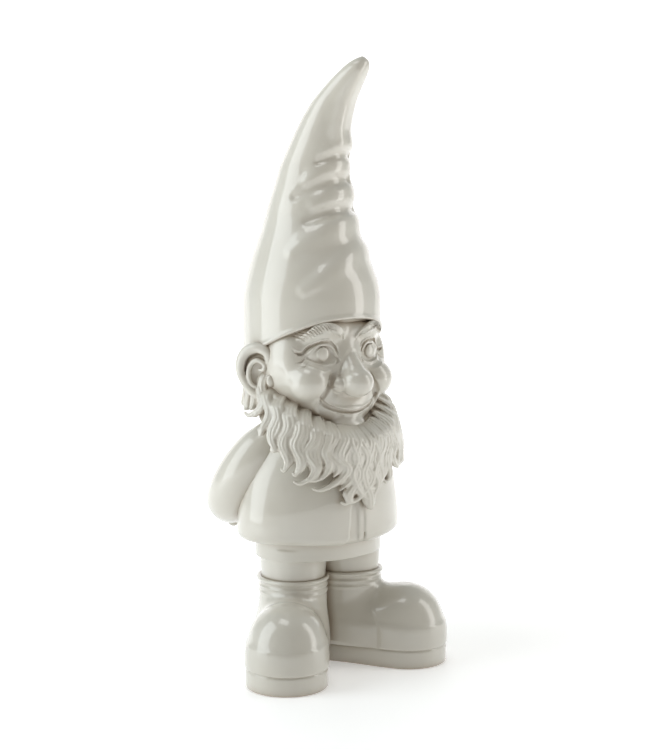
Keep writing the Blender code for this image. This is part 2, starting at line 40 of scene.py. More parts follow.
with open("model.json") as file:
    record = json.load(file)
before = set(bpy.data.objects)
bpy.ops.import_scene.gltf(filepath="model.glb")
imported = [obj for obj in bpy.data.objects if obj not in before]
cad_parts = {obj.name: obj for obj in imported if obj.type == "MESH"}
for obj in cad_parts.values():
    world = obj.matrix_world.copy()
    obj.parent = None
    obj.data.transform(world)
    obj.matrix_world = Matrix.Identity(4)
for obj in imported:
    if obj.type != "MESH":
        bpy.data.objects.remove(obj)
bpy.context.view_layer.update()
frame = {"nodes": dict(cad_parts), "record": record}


def centre_mm(node):
    """The middle of a node's box, to a tenth of a millimetre."""
    low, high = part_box(node)
    return [round((a + b) / 2 / MM, 1) for a, b in zip(low, high)]


# The head and hat stand over the middle of the plate inside the hat, and the legs just inside the leg rods.
HEAD_X, HEAD_Y, _ = centre_mm("hat_plate")
ANKLE_X = centre_mm("leg_rod_left")[0] - 1.2


# Clay: signed distances on a grid, negative inside

FAR = 60.0


def smooth_min(a, b, blend):
    if blend <= 0:
        return np.minimum(a, b)
    h = np.maximum(blend - np.abs(a - b), 0) / blend
    return np.minimum(a, b) - h * h * blend * 0.25


class Clay:
    """A block of clay between two corners; its cell is the grid's spacing."""

    def __init__(self, low, high, cell):
        self.cell = cell
        self.axes = [
            (l + cell * np.arange(int(math.ceil((h - l) / cell)) + 1)).astype(np.float32)
            for l, h in zip(low, high)
        ]
        self.field = np.full([len(a) for a in self.axes], FAR, np.float32)

    def window(self, low, high):
        cuts = []
        for axis, l, h in zip(self.axes, low, high):
            cuts.append(slice(int(np.searchsorted(axis, l)), int(np.searchsorted(axis, h))))
        return tuple(cuts)

    def points(self, cuts=(slice(None),) * 3):
        x, y, z = (axis[cut] for axis, cut in zip(self.axes, cuts))
        return x[:, None, None], y[None, :, None], z[None, None, :]

    def change(self, shape, blend, sign):
        """Adds a shape (its lowest and highest corner and its distance), or cuts it out, with a soft edge."""
        low, high, distance = shape
        margin = 2 * blend + 3 * self.cell
        cuts = self.window(np.asarray(low) - margin, np.asarray(high) + margin)
        if any(c.stop <= c.start for c in cuts):
            return self
        d = distance(*self.points(cuts))
        self.field[cuts] = sign * smooth_min(sign * self.field[cuts], d, blend)
        return self

    def add(self, shape, blend=2.0):
        return self.change(shape, blend, 1)

    def cut(self, shape, blend=1.0):
        return self.change(shape, blend, -1)

    def front(self, x, z):
        """Where the clay's front surface lies at x and z."""
        fx = (x - float(self.axes[0][0])) / self.cell
        fz = (z - float(self.axes[2][0])) / self.cell
        i, k = int(fx), int(fz)
        y = 0.0
        for di, wi in ((0, 1 - fx + i), (1, fx - i)):
            for dk, wk in ((0, 1 - fz + k), (1, fz - k)):
                column = self.field[i + di, :, k + dk]
                j = max(int(np.argmax(column < 0)), 1)
                a, b = float(column[j - 1]), float(column[j])
                y += wi * wk * (float(self.axes[1][j - 1]) + self.cell * (a / (a - b) if a > 0 > b else 0.0))
        return y

    def drawn(self, route, count, sides=(-1, 1)):
        """Strands on the front surface, from rows of x, z, distance out of it and radius, on each side."""
        found = []
        for side in sides:
            rows = []
            for x, z, out, r in along(route, count):
                rows.append((side * x, self.front(side * x, z) - out, z, max(r, 0.1)))
            found.append(strand(rows, count))
        return found

    def keep(self, distance, blend=0.5):
        """Keeps what lies where the distance is negative."""
        d = distance(*self.points())
        self.field = -smooth_min(-self.field, -d, blend)
        return self


def turned(rx=0, ry=0, rz=0):
    """A rotation about X, then Y, then Z, in degrees."""
    a, b, c = (math.radians(v) for v in (rx, ry, rz))
    x = np.array([[1, 0, 0], [0, math.cos(a), -math.sin(a)], [0, math.sin(a), math.cos(a)]])
    y = np.array([[math.cos(b), 0, math.sin(b)], [0, 1, 0], [-math.sin(b), 0, math.cos(b)]])
    z = np.array([[math.cos(c), -math.sin(c), 0], [math.sin(c), math.cos(c), 0], [0, 0, 1]])
    return z @ y @ x


def lump(centre, radii, turn=None):
    """An ellipsoid."""
    if np.isscalar(radii):
        radii = (radii,) * 3
    c, r = np.array(centre, float), np.array(radii, float)
    m = np.eye(3) if turn is None else turn
    reach = np.sqrt((m * m) @ (r * r))

    def distance(x, y, z):
        p = (x - c[0], y - c[1], z - c[2])
        q = [p[0] * m[0, i] + p[1] * m[1, i] + p[2] * m[2, i] for i in range(3)]
        k0 = np.sqrt(sum((q[i] / r[i]) ** 2 for i in range(3)))
        k1 = np.sqrt(sum((q[i] / r[i] ** 2) ** 2 for i in range(3))) + 1e-6
        return k0 * (k0 - 1) / k1

    return c - reach, c + reach, distance


def along(points, count):
    """A smooth curve through rows of numbers, such as x, y, z, radius."""
    rows = np.array(points, float)
    if len(rows) < 3:
        t = np.linspace(0, 1, count)[:, None]
        return rows[0] + (rows[-1] - rows[0]) * t
    padded = np.vstack([2 * rows[0] - rows[1], rows, 2 * rows[-1] - rows[-2]])
    at = np.linspace(0, len(rows) - 1 - 1e-6, count)
    i = at.astype(int)
    t = (at - i)[:, None]
    p0, p1, p2, p3 = (padded[i + k] for k in range(4))
    return 0.5 * (
        2 * p1 + (p2 - p0) * t + (2 * p0 - 5 * p1 + 4 * p2 - p3) * t**2 + (3 * p1 - p0 - 3 * p2 + p3) * t**3
    )


def strand(points, count=None):
    """A round cord through x, y, z, radius rows."""
    rows = along(points, count or 5 * (len(points) - 1) + 1)
    rows[:, 3] = np.maximum(rows[:, 3], 0.05)

    def distance(x, y, z):
        best = None
        for a, b in zip(rows[:-1], rows[1:]):
            way = b[:3] - a[:3]
            span = max(float(way @ way), 1e-6)
            dx, dy, dz = x - a[0], y - a[1], z - a[2]
            t = np.clip((dx * way[0] + dy * way[1] + dz * way[2]) / span, 0, 1)
            d = np.sqrt((dx - t * way[0]) ** 2 + (dy - t * way[1]) ** 2 + (dz - t * way[2]) ** 2)
            d = d - (a[3] + (b[3] - a[3]) * t)
            best = d if best is None else np.minimum(best, d)
        return best.astype(np.float32)

    reach = rows[:, 3].max()
    return rows[:, :3].min(0) - reach, rows[:, :3].max(0) + reach, distance


def skinned(clay, relax=2):
    """The clay's surface as corner points and quads."""
    f = clay.field
    inside = f < 0
    n = [k - 1 for k in f.shape]
    total = np.zeros(n, np.int8)
    for i in (0, 1):
        for j in (0, 1):
            for k in (0, 1):
                total += inside[i : n[0] + i, j : n[1] + j, k : n[2] + k]
    ci, cj, ck = np.nonzero((total > 0) & (total < 8))
    index = np.full(n, -1, np.int32)
    index[ci, cj, ck] = np.arange(len(ci))
    where = np.zeros((len(ci), 3))
    count = np.zeros(len(ci))
    for axis in range(3):
        others = [a for a in range(3) if a != axis]
        for u in (0, 1):
            for v in (0, 1):
                start = [ci, cj, ck]
                offset = [0, 0, 0]
                offset[others[0]], offset[others[1]] = u, v
                start = [s + o for s, o in zip(start, offset)]
                end = list(start)
                end[axis] = end[axis] + 1
                a, b = f[tuple(start)], f[tuple(end)]
                crosses = (a < 0) != (b < 0)
                t = np.where(crosses, a / np.where(crosses, a - b, 1), 0)
                for k in range(3):
                    where[:, k] += crosses * (start[k] + (t if k == axis else 0))
                count += crosses
    verts = where / count[:, None]

    quads = []
    for axis in range(3):
        u, v = [a for a in range(3) if a != axis]
        low = [slice(1, f.shape[k] - 1) for k in range(3)]
        low[axis] = slice(0, f.shape[axis] - 1)
        high = list(low)
        high[axis] = slice(1, f.shape[axis])
        first, second = inside[tuple(low)], inside[tuple(high)]
        at = [a + s.start for a, s in zip(np.nonzero(first != second), low)]
        leaving = first[first != second]
        corners = []
        for du, dv in ((1, 1), (0, 1), (0, 0), (1, 0)):
            cell = list(at)
            cell[u] = cell[u] - du
            cell[v] = cell[v] - dv
            corners.append(index[tuple(cell)])
        quad = np.stack(corners, 1)
        flip = leaving if axis == 1 else ~leaving
        quad[flip] = quad[flip][:, ::-1]
        quads.append(quad)
    quads = np.concatenate(quads)

    for _ in range(relax):
        total, hits = np.zeros_like(verts), np.zeros(len(verts))
        for a, b in ((0, 1), (1, 2), (2, 3), (3, 0)):
            for i, j in ((quads[:, a], quads[:, b]), (quads[:, b], quads[:, a])):
                hits += np.bincount(i, minlength=len(verts))
                for k in range(3):
                    total[:, k] += np.bincount(i, weights=verts[j, k], minlength=len(verts))
        verts = verts * 0.5 + total / hits[:, None] * 0.5
    low = np.array([a[0] for a in clay.axes])
    return (low + verts * clay.cell) * MM, quads


def finished(name, clay, replaced, relax=2):
    """Skins the clay as a lacquered piece in place of the CAD nodes that it replaces."""
    verts, quads = skinned(clay, relax)
    mesh = bpy.data.meshes.new(name)
    mesh.vertices.add(len(verts))
    mesh.vertices.foreach_set("co", verts.ravel())
    mesh.loops.add(quads.size)
    mesh.loops.foreach_set("vertex_index", quads.ravel())
    mesh.polygons.add(len(quads))
    mesh.polygons.foreach_set("loop_start", np.arange(0, quads.size, 4))
    mesh.polygons.foreach_set("loop_total", np.full(len(quads), 4))
    mesh.update(calc_edges=True)
    mesh.validate()
    mesh.shade_smooth()
    piece = bpy.data.objects.new(name, mesh)
    bpy.context.scene.collection.objects.link(piece)
    mesh.materials.append(lacquer)
    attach(piece, "root")
    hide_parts(*replaced)
    return piece


# Materials


def new_material(name):
    material = bpy.data.materials.new(name)
    material.use_nodes = True
    return material, material.node_tree.nodes, material.node_tree.links


def lacquer_material():
    """Ivory gelcoat under clear lacquer, with painted shade: the colour is darker and warmer in the creases,
    by ambient occlusion.
    """
    material, nodes, links = new_material("ivory_lacquer")
    shader = nodes["Principled BSDF"]
    shader.inputs["Roughness"].default_value = 0.32
    shader.inputs["Coat Weight"].default_value = 1.0
    shader.inputs["Coat Roughness"].default_value = 0.02
    shader.inputs["IOR"].default_value = 1.48
    place = nodes.new("ShaderNodeTexCoord")
    # Painted shade: ambient occlusion darkens and warms the base colour in creases and hollows.
    crease = nodes.new("ShaderNodeAmbientOcclusion")
    crease.samples = 8
    crease.inputs["Distance"].default_value = 0.014
    crease_shade_ramp = nodes.new("ShaderNodeValToRGB")
    crease_shade_ramp.color_ramp.elements[0].position = 0.15
    crease_shade_ramp.color_ramp.elements[0].color = (0.40, 0.33, 0.25, 1)
    crease_shade_ramp.color_ramp.elements[1].position = 0.95
    crease_shade_ramp.color_ramp.elements[1].color = (0.625, 0.60, 0.535, 1)
    tone = nodes.new("ShaderNodeTexNoise")
    tone.inputs["Scale"].default_value = 9
    tone.inputs["Detail"].default_value = 3
    tones = nodes.new("ShaderNodeValToRGB")
    tones.color_ramp.elements[0].position = 0.3
    tones.color_ramp.elements[0].color = (0.965, 0.955, 0.935, 1)
    tones.color_ramp.elements[1].position = 0.7
    tones.color_ramp.elements[1].color = (1, 1, 1, 1)
    mix = nodes.new("ShaderNodeMix")
    mix.data_type = "RGBA"
    mix.blend_type = "MULTIPLY"
    mix.inputs["Factor"].default_value = 1.0
    peel = nodes.new("ShaderNodeTexNoise")
    peel.inputs["Scale"].default_value = 260
    peel.inputs["Detail"].default_value = 2
    bump = nodes.new("ShaderNodeBump")
    bump.inputs["Strength"].default_value = 0.05
    bump.inputs["Distance"].default_value = 0.0006
    links.new(place.outputs["Object"], tone.inputs["Vector"])
    links.new(place.outputs["Object"], peel.inputs["Vector"])
    links.new(crease.outputs["AO"], crease_shade_ramp.inputs["Fac"])
    links.new(tone.outputs["Fac"], tones.inputs["Fac"])
    links.new(crease_shade_ramp.outputs["Color"], mix.inputs["A"])
    links.new(tones.outputs["Color"], mix.inputs["B"])
    links.new(mix.outputs["Result"], shader.inputs["Base Color"])
    links.new(peel.outputs["Fac"], bump.inputs["Height"])
    links.new(bump.outputs["Normal"], shader.inputs["Normal"])
    return material


def grained_material(name, dark, light, roughness, scale, metallic=0.0, rough_range=0.1, relief=0.0003):
    """A noisy two-tone finish whose roughness and relief follow the same grain."""
    material, nodes, links = new_material(name)
    shader = nodes["Principled BSDF"]
    shader.inputs["Metallic"].default_value = metallic
    place = nodes.new("ShaderNodeTexCoord")
    stretch = nodes.new("ShaderNodeMapping")
    stretch.inputs["Scale"].default_value = scale
    noise = nodes.new("ShaderNodeTexNoise")
    noise.inputs["Scale"].default_value = 1.0
    noise.inputs["Detail"].default_value = 6
    colours = nodes.new("ShaderNodeValToRGB")
    colours.color_ramp.elements[0].position = 0.35
    colours.color_ramp.elements[0].color = (*dark, 1)
    colours.color_ramp.elements[1].position = 0.65
    colours.color_ramp.elements[1].color = (*light, 1)
    rough = nodes.new("ShaderNodeMapRange")
    rough.inputs["To Min"].default_value = roughness - rough_range
    rough.inputs["To Max"].default_value = roughness + rough_range
    bump = nodes.new("ShaderNodeBump")
    bump.inputs["Strength"].default_value = 0.5
    bump.inputs["Distance"].default_value = relief
    links.new(place.outputs["Object"], stretch.inputs["Vector"])
    links.new(stretch.outputs["Vector"], noise.inputs["Vector"])
    links.new(noise.outputs["Fac"], colours.inputs["Fac"])
    links.new(noise.outputs["Fac"], rough.inputs["Value"])
    links.new(noise.outputs["Fac"], bump.inputs["Height"])
    links.new(colours.outputs["Color"], shader.inputs["Base Color"])
    links.new(rough.outputs["Result"], shader.inputs["Roughness"])
    links.new(bump.outputs["Normal"], shader.inputs["Normal"])
    return material


lacquer = lacquer_material()
hidden_finishes = {
    "gelcoat": lacquer,
    "galvanised_steel": grained_material(
        "galvanised_steel", (0.42, 0.44, 0.46), (0.62, 0.64, 0.66), 0.42, (90, 90, 40), metallic=1.0
    ),
    "plywood": grained_material("plywood", (0.42, 0.28, 0.15), (0.62, 0.47, 0.29), 0.65, (25, 160, 400)),
    "concrete": grained_material("concrete", (0.33, 0.32, 0.30), (0.50, 0.49, 0.46), 0.85, (120, 120, 120)),
    "rubber": grained_material("rubber", (0.02, 0.02, 0.02), (0.045, 0.045, 0.045), 0.65, (200, 200, 200)),
}
slot_of = {row["node"]: row["material_slot"] for row in frame["record"]["subparts"]}
for node_name, node in frame["nodes"].items():
    node.data.materials.clear()
    node.data.materials.append(hidden_finishes[slot_of[node_name]])


# Hat


def table_curve(rows, smooth=9):
    """Interpolates rows of height and values at any height, smoothly."""
    rows = np.array(sorted(rows), float)
    heights = np.arange(rows[0, 0] - 3 * smooth, rows[-1, 0] + 3 * smooth + 1)
    kernel = np.exp(-0.5 * (np.arange(-3 * smooth, 3 * smooth + 1) / smooth) ** 2)
    kernel /= kernel.sum()
    columns = []
    for k in range(1, rows.shape[1]):
        below = (rows[1, k] - rows[0, k]) / (rows[1, 0] - rows[0, 0])
        above = (rows[-1, k] - rows[-2, k]) / (rows[-1, 0] - rows[-2, 0])
        values = np.interp(heights, rows[:, 0], rows[:, k])
        values += np.minimum(heights - rows[0, 0], 0) * below + np.maximum(heights - rows[-1, 0], 0) * above
        padded = np.pad(values, 3 * smooth, mode="reflect", reflect_type="odd")
        columns.append(np.convolve(padded, kernel, mode="valid"))

    def at(z):
        return [np.interp(z, heights, c) for c in columns]

    return at


# The hat leans towards LEAN; its rows are height, how far its centre line leans, and radius.
LEAN = math.radians(15)
hat_at = table_curve(
    [
        (380, 0, 104), (553, 0, 103), (577, 0, 99), (601, -2, 91.5), (625, -4, 82.5), (649, -3, 74),
        (673, -5, 66), (697, -2, 61.5), (720, 1, 56), (744, 2, 50), (767, 11, 46.5), (791, 19, 42),
        (814, 28.5, 37.5), (838, 41, 33), (861, 60, 27.5), (875, 73, 24), (886, 83, 19.5), (893, 88.5, 15),
        (898, 92, 9.5), (900, 93, 4),
    ],
    4,
)


def on_hat(angle, z, out):
    """A point on the hat: degrees from the front towards the gnome's left, height, distance outside it."""
    lean, radius = hat_at(z)
    a = math.radians(angle)
    x = HEAD_X + float(lean) * math.sin(LEAN) + (float(radius) + out) * math.sin(a)
    y = HEAD_Y - float(lean) * math.cos(LEAN) - (float(radius) + out) * math.cos(a)
    return x, y, z


def hat_roll(route, depth):
    """A fold of cloth along angle, height, radius rows, sunk so that depth of it shows at its fullest."""
    rows = along(route, 8 * (len(route) - 1) + 1)
    full = rows[:, 2].max()
    points = []
    for angle, z, radius in rows:
        out = depth * (radius / full) ** 1.3 - radius - 1.5 * (1 - radius / full)
        points.append((*on_hat(angle, z, out), radius))
    return strand(points, len(points))


def hat_body(x, y, z):
    height = z.ravel()
    lean, radius = hat_at(height)
    lean_rate, radius_rate = np.gradient(lean, height), np.gradient(radius, height)
    cx, cy = HEAD_X + lean * math.sin(LEAN), HEAD_Y - lean * math.cos(LEAN)
    dx, dy = x - cx[None, None, :], y - cy[None, None, :]
    rho = np.sqrt(dx * dx + dy * dy) + 1e-6
    slope = radius_rate + lean_rate * (dx * math.sin(LEAN) - dy * math.cos(LEAN)) / rho
    return ((rho - radius) / np.sqrt(1 + slope * slope)).astype(np.float32)


# The brim slants down towards the back.
BRIM_Z, BRIM_SLOPE, BRIM_RADIUS = 475.0, 0.50, 102.0


def above_brim(x, y, z):
    return (BRIM_Z - BRIM_SLOPE * (y - HEAD_Y) - z) / math.sqrt(1 + BRIM_SLOPE**2)


def brim_point(angle, radius, rise=0.0):
    a = math.radians(angle)
    x, y = radius * math.sin(a), -radius * math.cos(a)
    return HEAD_X + x, HEAD_Y + y, BRIM_Z - BRIM_SLOPE * y + rise


def build_hat():
    clay = Clay((-116, -125, 408), (116, 130, 905), 1.85)
    clay.field = hat_body(*clay.points())
    rolls = [
        ([(-16, 761, 4), (2, 771, 10), (24, 779, 13), (56, 777, 13), (95, 770, 5)], 2.6),
        ([(-40, 722, 5), (-24, 734, 14), (2, 745, 20), (38, 746, 20), (80, 740, 15), (120, 734, 5)], 4.2),
        ([(-30, 689, 4), (-10, 697, 13), (15, 704, 19), (42, 705, 20), (75, 704, 17), (110, 708, 5)], 3.2),
        ([(-54, 620, 5), (-36, 635, 14), (-10, 650, 20), (18, 661, 20), (50, 664, 17), (100, 662, 5)], 4.6),
        ([(-42, 566, 4), (-26, 582, 11), (-6, 600, 15), (14, 614, 16), (44, 620, 14), (80, 612, 5)], 2.0),
        ([(-20, 880, 4), (-16, 855, 8), (-10, 828, 10), (-4, 798, 9), (2, 780, 4)], 2.0),
    ]
    for route, depth in rolls:
        clay.add(hat_roll(route, depth), 13)
    valleys = [
        ([(-60, 700, 1), (-40, 711, 5), (-18, 720, 7), (6, 724, 7), (34, 726, 3)], 10),
        ([(-30, 750, 1), (-12, 757, 5), (14, 762, 6), (50, 761, 3)], 9),
        ([(-40, 665, 1), (-24, 674, 5), (-4, 680, 6), (24, 683, 5), (50, 683, 2)], 11),
    ]
    for route, blend in valleys:
        clay.cut(strand([(*on_hat(a, z, r - 0.8), r) for a, z, r in along(route, 25)]), blend)
    clay.keep(above_brim, 1.5)
    lip = [(*brim_point(a, BRIM_RADIUS, 2.2), 3.4) for a in range(0, 361, 10)]
    clay.add(strand(lip, 145), 1.5)
    return finished("hat", clay, ["hat"])


# Head


def shape_skull(clay):
    """Skull, jaw and chin fullness, cheeks, brow ridges, temples, eye sockets and nose."""
    clay.add(lump((0, 9, 462), (96, 89, 108)), 0)
    clay.add(lump((0, -14, 430), (84, 70, 62)), 16)
    clay.add(lump((0, -43, 400), (60, 43, 38)), 18)
    for side in (-1, 1):
        clay.add(lump((side * 57, -56, 434), (31, 32, 29)), 10)
        clay.add(lump((side * 36, -60, 506), (34, 22, 14), turned(0, side * 10, side * 24)), 14)
        clay.add(lump((side * 76, -20, 466), (20, 34, 40)), 16)
        clay.cut(lump((side * 42, -92, 474), (26, 22, 17), turned(0, 0, side * 26)), 8)
    clay.add(strand([(0, -60, 506, 11), (0, -62, 490, 13), (0, -74, 466, 15), (0, -86, 448, 18)]), 13)
    clay.cut(lump((0, -112, 412), (38, 26, 12)), 10)
    clay.add(lump((0, -96, 434), (24, 25, 22)), 5)
    for side in (-1, 1):
        clay.add(lump((side * 24, -82, 431), (13, 15, 12)), 1.6)


def shape_smile(clay):
    """The folds beside the nose, the corners of the mouth, the lips and the lines under them."""
    fold = [(26, 450, 0.4, 0.6), (33, 441, -0.4, 3.6), (41, 428, -0.8, 5.2), (48, 415, -0.8, 5.0)]
    fold += [(51, 404, 0.4, 1.6)]
    for shape in clay.drawn(fold, 21):
        clay.cut(shape, 2.5)
    around_wing = [(30, 424, 0.3, 0.6), (37, 430, 0.0, 1.5), (38, 441, 0.0, 1.3), (32, 450, 0.3, 0.5)]
    for shape in clay.drawn(around_wing, 15):
        clay.cut(shape, 2)
    corner = [(50, 417, -1.5, 2.0), (55, 408, -1.0, 3.6), (54, 398, -1.0, 3.2), (49, 390, -1.2, 1.4)]
    for shape in clay.drawn(corner, 15):
        clay.add(shape, 3)

    smile = [(-51, 412, -1.0, 2.4), (-41, 401, -1.6, 3.4), (-22, 393.5, -1.4, 3.2), (0, 390.5, -1.4, 3.2)]
    smile += [(-x, z, out, r) for x, z, out, r in reversed(smile[:-1])]
    for lift, out, radius, blend in ((4.6, -1.0, 4.4, 2), (-4.4, -2.2, 4.0, 2.5)):
        lip = []
        for x, z, _, _ in smile:
            lip.append((x * 0.97, z + lift * (1 - abs(x) / 70), out, radius * (1 - abs(x) / 75)))
        for shape in clay.drawn(lip, 33, (1,)):
            clay.add(shape, blend)
    for shape in clay.drawn(smile, 45, (1,)):
        clay.cut(shape, 0.8)
    for drop, radius, reach in ((9.0, 2.2, 0.80), (14.5, 1.6, 0.62)):
        line = []
        for x, z, _, _ in smile:
            line.append((x * reach, z - drop + 3 * (x / 49) ** 2, 0.2, radius * (1.05 - abs(x) / 52)))
        for shape in clay.drawn(line, 33, (1,)):
            clay.cut(shape, 1.5)
    clay.add(lump((0, -73, 369), (32, 18, 14)), 9)


def shape_eyes(clay):
    """Eyeballs with raised irises, then lids, the lines along them and the crow's feet."""
    for side in (-1, 1):
        clay.add(lump((side * 42.5, -51, 474), (22, 21, 20.5)), 0.8)
        clay.add(lump((side * 42.5, -71.4, 475), (10, 2.6, 10.5), turned(0, 0, side * 6)), 0.3)
    upper_lid = [
        (20, 466, -0.6, 1.0), (23, 477, 0.2, 2.0), (32, 487, 0.6, 2.7), (45, 489, 0.6, 2.8),
        (57, 481, 0.2, 2.4), (66, 471, -0.2, 1.6), (72, 467, -0.4, 0.6),
    ]
    lid_fold = [
        (19, 474, -0.4, 0.8), (22, 484, 0, 1.8), (32, 494, 0.2, 2.3), (46, 496, 0.2, 2.3),
        (59, 489, 0, 2.1), (69, 480, -0.2, 1.6), (76, 480, -0.2, 1.4), (82, 485, -0.4, 0.5),
    ]
    lower_lid = [
        (22, 465, -0.6, 1.0), (29, 461, -0.2, 1.9), (41, 458.5, 0, 2.2), (54, 461, -0.2, 2.1),
        (65, 467, -0.4, 1.4),
    ]
    eye_bag = [(34, 452, -0.8, 0.8), (45, 450, -0.8, 1.6), (57, 453, -0.8, 1.6), (68, 460, -0.8, 0.7)]
    for route, blend, count in (
        (upper_lid, 0.9, 41), (lid_fold, 1.0, 41), (lower_lid, 1.0, 29), (eye_bag, 2.0, 21)
    ):
        for shape in clay.drawn(route, count):
            clay.add(shape, blend)
    lid_line = [
        (21, 473, 0.4, 0.5), (24, 483, 0.4, 1.3), (33, 492, 0.4, 1.5), (46, 493.5, 0.4, 1.5),
        (59, 485.5, 0.4, 1.4), (68, 476, 0.4, 1.2), (76, 476, 0.4, 1.1), (82, 481, 0.4, 0.4),
    ]
    lines = [
        lid_line,
        [(66, 469, 0.2, 0.4), (72, 464.5, 0, 1.1), (80, 463, 0.2, 0.4)],
        [(64, 463, 0.2, 0.4), (71, 458, 0, 1.0), (79, 456, 0.2, 0.3)],
        [(66, 475, 0.2, 0.5), (73, 474, 0, 1.1), (81, 478, 0.2, 0.3)],
        [(24, 471, 0.2, 0.4), (21, 466, 0, 1.4), (24, 461, 0.2, 0.5)],
    ]
    deeper, wider = 0.7, 1.45
    for route in lines:
        for shape in clay.drawn([(x, z, out - deeper, r * wider) for x, z, out, r in route], 8 * len(route)):
            clay.cut(shape, 0.4)


def shape_brows(clay):
    """A bushy brow over each eye, combed with slanting grooves."""
    brow = [
        (12, 499, 0, 3.0), (21, 507, 0, 5.8), (35, 513, 0, 7.4), (50, 513, 0, 6.8), (62, 506, 0, 5.0),
        (73, 496, -0.6, 1.6),
    ]
    for shape in clay.drawn(brow, 30):
        clay.add(shape, 2.0)
    for i, (x, z, _, _) in enumerate(along(brow, 20)[1:19], 1):
        lean, rise = 3.0 + 5.5 * (i / 19), 7.5 - 3.5 * (i / 19)
        hair = [
            (x - lean * 0.6, z - rise, -0.2, 0.9),
            (x, z - 0.5, -1.2, 1.6),
            (x + lean * 0.8, z + rise, -0.2, 0.9),
        ]
        for shape in clay.drawn(hair, 7):
            clay.cut(shape, 0.3)


def build_head():
    """The face; under the hat, the head ends on a slant."""
    clay = Clay((-112, -136, 352), (112, 46, 560), 1.15)
    shape_skull(clay)
    shape_smile(clay)
    shape_eyes(clay)
    shape_brows(clay)
    clay.keep(lambda x, y, z: z - (537 - 0.5 * (y + 87)) + 0 * x, 0.5)
    return finished("head", clay, ["head"], 1)


# Ears


def build_ear(side, name):
    """A cupped ear: a rolled rim, an inner curl, a hollow, the small flap in front and the lobe."""
    near, far = (-158, -76) if side < 0 else (76, 158)
    clay = Clay((near, -36, 384), (far, 64, 500), 1.1)

    def at(u, v, out):
        """Along the ear from its root, up from its middle, and out from its plate."""
        x = 90 + u * 1.2 * 0.56 + out * 0.83
        y = -12 + u * 1.2 * 0.83 - out * 0.56
        return side * x, y, 443 + v

    def rows(route):
        return [(*at(u, v, out), r) for u, v, out, r in route]

    clay.add(lump(at(20, 2, -3), (30, 5.5, 36), turned(0, 0, side * 56)), 0)
    rim = [
        (3, 20, 2, 6.5), (6, 33, 4, 7.8), (18, 39, 4, 8.2), (32, 34, 3, 8.4), (40, 20, 2, 8.0),
        (41, 2, 1, 7.4), (34, -16, 0, 6.8), (24, -28, 0, 6.8), (12, -34, 0, 7.0), (3, -33, 0, 6.0),
        (-2, -26, 0, 4.5),
    ]
    clay.add(strand(rows(rim), 71), 3)
    clay.cut(lump(at(18, 0, 5), (15, 9, 24), turned(0, 0, side * 56)), 3)
    curl = [
        (16, -22, 1, 2.0), (27, -14, 2, 3.2), (31, 0, 2, 3.8), (28, 14, 2, 4.0), (19, 21, 3, 4.0),
        (10, 15, 3, 3.8), (11, 7, 3, 3.2), (17, 7, 2, 2.2),
    ]
    clay.add(strand(rows(curl), 57), 1.2)
    furrow = [(8, 27, 2, 1.6), (20, 31, 1, 2.8), (33, 22, 0, 3.0), (36, 4, 0, 2.6), (29, -16, 0, 1.6)]
    clay.cut(strand(rows(furrow), 41), 1.5)
    clay.cut(lump(at(14, -8, 3), (8, 8, 11), turned(0, 0, side * 60)), 2)
    clay.add(lump(at(1, -8, 3), (8, 6, 10)), 5)
    return finished(name, clay, [name])


# Beard and hair

RIDGE_PITCH = 5.6

# Bodies under the hair: height, centre y, half width, half depth.
beard_at = table_curve(
    [
        (230, 2, 134, 104), (250, 0, 137, 103), (270, 0, 136, 107), (300, 0, 133, 110), (340, 0, 128, 113),
        (370, 0, 120, 112), (395, 2, 112, 108), (415, 6, 104, 98), (440, 9, 96, 86),
    ],
    8,
)


def on_body(body_at, angle, z, out=0.0):
    """A point on a body of hair: degrees from the front, height, distance outside it."""
    centre, wide, deep = (float(v) for v in body_at(z))
    a = math.radians(angle)
    return (wide + out) * math.sin(a), centre - (deep + out) * math.cos(a), z


def hair_lock(body_at, route, width, depth, phase, rise=24.0, ridge=1.5):
    """A wavy lock of hair over a body, along rows of angle and height that run down to its rounded tip.

    It rises out of the body at its top, and ridges run along it.
    """
    line = along([(a, z, 0) for a, z in route], 29)
    turns, levels = line[::-1, 0], line[::-1, 1]
    top, tip = levels.max(), levels.min()
    near = np.array([on_body(body_at, angle, z) for angle, z, _ in line])
    reach = np.array([width + 4, width + 4, 3])

    def distance(x, y, z):
        level = z.ravel()
        centre, wide, deep = body_at(level)
        mean = 0.5 * (wide + deep)
        dx, dy = x / wide, (y - centre) / deep
        shell = (np.sqrt(dx * dx + dy * dy) - 1) * mean
        turn = np.degrees(np.arctan2(dx, -dy)) - np.interp(level, levels, turns)
        u = np.radians((turn + 180) % 360 - 180) * mean
        t = np.clip((top - level) / (top - tip), 0, 1)
        taper = np.sqrt(np.clip(1 - np.maximum((t - 0.62) / 0.38, 0) ** 2.2, 0.0, 1))
        across = np.maximum(0.5 * width * (1.12 - 0.18 * np.minimum(3 * t, 1)) * taper, 1.0)
        height = np.maximum(depth * (0.45 + 0.55 * taper) * np.minimum(0.6 + 2 * t, 1), 1.0)
        sunk = 0.40 * height + rise * (1 - np.minimum(t / 0.24, 1)) ** 1.8 - 4.0 * t**3
        v = shell + sunk
        d = (np.sqrt((u / across) ** 2 + (v / height) ** 2) - 1) * np.minimum(across, height)
        comb = 1 - np.abs(np.cos(math.pi * u / RIDGE_PITCH + phase))
        d = d + ridge * comb * np.minimum(taper * 1.3, 1)
        return np.maximum(d, np.maximum(tip - z, z - top)).astype(np.float32)

    return near.min(0) - reach, near.max(0) + reach, distance


